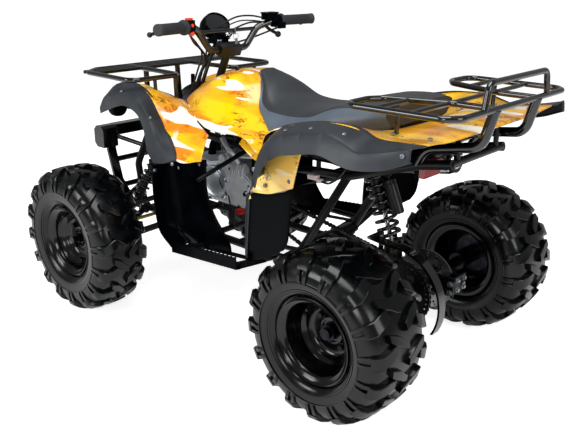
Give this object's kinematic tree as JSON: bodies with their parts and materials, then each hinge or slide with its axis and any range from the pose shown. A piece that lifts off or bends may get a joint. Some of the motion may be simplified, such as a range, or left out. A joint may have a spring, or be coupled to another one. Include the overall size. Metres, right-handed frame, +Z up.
{
  "type": "quad bike",
  "caption": "Small utility quad bike with tube racks, straddle seat, handlebar steering, knobbly balloon tyres, coil-sprung front arms and a solid chain-driven rear axle",
  "frame": {"origin": "on the floor below the middle of the overall box", "axes": "+X rider's left, +Y rear, +Z up; the front faces -Y"},
  "size_m": [1.012, 1.508, 0.9352],
  "materials": {
    "yellow_plastic": "gloss moulded, camouflage print",
    "grey_plastic": "textured moulded",
    "black_plastic": "moulded",
    "seat_vinyl": "grained vinyl",
    "frame_paint": "satin black",
    "rack_paint": "gloss black",
    "rim_paint": "gloss black",
    "engine_alloy": "cast and polished",
    "steel": "machined",
    "zinc_steel": "yellow zinc plated",
    "silencer_chrome": "polished",
    "tyre": "moulded",
    "grip_rubber": "ribbed",
    "lamp_lens": "clear coated"
  },
  "bodies": {
    "chassis": {"front_flares": "grey_plastic", "rear_flares": "grey_plastic", "front_body": "yellow_plastic", "tank_cover": "yellow_plastic", "rear_body": "yellow_plastic", "side_panels": "yellow_plastic", "rear_mudguards": "black_plastic", "footwells": "black_plastic", "seat": "seat_vinyl", "frame_lower_rails": "frame_paint", "frame_upper_rails": "frame_paint", "frame_struts": "frame_paint", "frame_cross_tubes": "frame_paint", "footrest_bars": "frame_paint", "panel_stays": "frame_paint", "bumper": "rack_paint", "engine_crankcase": "engine_alloy", "engine_cylinder": "engine_alloy", "intake": "black_plastic", "exhaust": "silencer_chrome", "rear_rack": "rack_paint", "front_rack": "rack_paint", "suspension_arms": "frame_paint", "front_shocks": "frame_paint", "swing_arm": "frame_paint", "rear_shock": "frame_paint", "chain": "steel", "sprocket_guard": "frame_paint", "brake_caliper": "zinc_steel", "footrests": "black_plastic", "lamps": "lamp_lens"},
    "steering": {"steering_stem": "frame_paint", "handlebar": "rack_paint", "controls": "grip_rubber", "instrument_pod": "black_plastic"},
    "rear_axle": {"rear_axle": "steel", "rear_sprocket": "zinc_steel", "brake_disc": "steel", "rear_rim_left": "rim_paint", "rear_rim_right": "rim_paint", "rear_tyre_left": "tyre", "rear_tyre_right": "tyre"},
    "knuckle_left": {"knuckle_left": "frame_paint"},
    "tie_rod_left": {"tie_rod_left": "zinc_steel"},
    "wheel_front_left": {"front_rim_left": "rim_paint", "front_tyre_left": "tyre"},
    "knuckle_right": {"knuckle_right": "frame_paint"},
    "tie_rod_right": {"tie_rod_right": "zinc_steel"},
    "wheel_front_right": {"front_rim_right": "rim_paint", "front_tyre_right": "tyre"}
  },
  "joints": [
    {"name": "steering", "type": "hinge", "parent": "chassis", "child": "steering", "pos_m": [0, -0.535, 0.235], "axis": [0, 0.4253, 0.9051], "range_deg": [-28, 28]},
    {"name": "knuckle_left", "type": "hinge", "parent": "chassis", "child": "knuckle_left", "pos_m": [0.354, -0.52, 0.19], "axis": [-0.1956, 0.0711, 0.9781], "range_deg": [-27, 27]},
    {"name": "tie_rod_left", "type": "hinge", "parent": "steering", "child": "tie_rod_left", "pos_m": [0.02, -0.45948, 0.25933], "axis": [0, 0.4253, 0.9051], "range_deg": [-29, 29]},
    {"name": "wheel_front_left", "type": "hinge", "parent": "knuckle_left", "child": "wheel_front_left", "pos_m": [0.418, -0.516, 0.2385], "axis": [1, 0, 0], "continuous": true},
    {"name": "knuckle_right", "type": "hinge", "parent": "chassis", "child": "knuckle_right", "pos_m": [-0.354, -0.52, 0.19], "axis": [0.1956, 0.0711, 0.9781], "range_deg": [-27, 27]},
    {"name": "tie_rod_right", "type": "hinge", "parent": "steering", "child": "tie_rod_right", "pos_m": [-0.02, -0.45948, 0.25933], "axis": [0, 0.4253, 0.9051], "range_deg": [-29, 29]},
    {"name": "wheel_front_right", "type": "hinge", "parent": "knuckle_right", "child": "wheel_front_right", "pos_m": [-0.418, -0.516, 0.2385], "axis": [1, 0, 0], "continuous": true},
    {"name": "rear_axle", "type": "hinge", "parent": "chassis", "child": "rear_axle", "pos_m": [0, 0.484, 0.226], "axis": [1, 0, 0], "continuous": true}
  ],
  "couplings": [
    {"joint": "knuckle_left", "follows": "steering", "ratio": 0.929},
    {"joint": "tie_rod_left", "follows": "steering", "ratio": -0.997},
    {"joint": "knuckle_right", "follows": "steering", "ratio": 0.929},
    {"joint": "tie_rod_right", "follows": "steering", "ratio": -0.997}
  ]
}
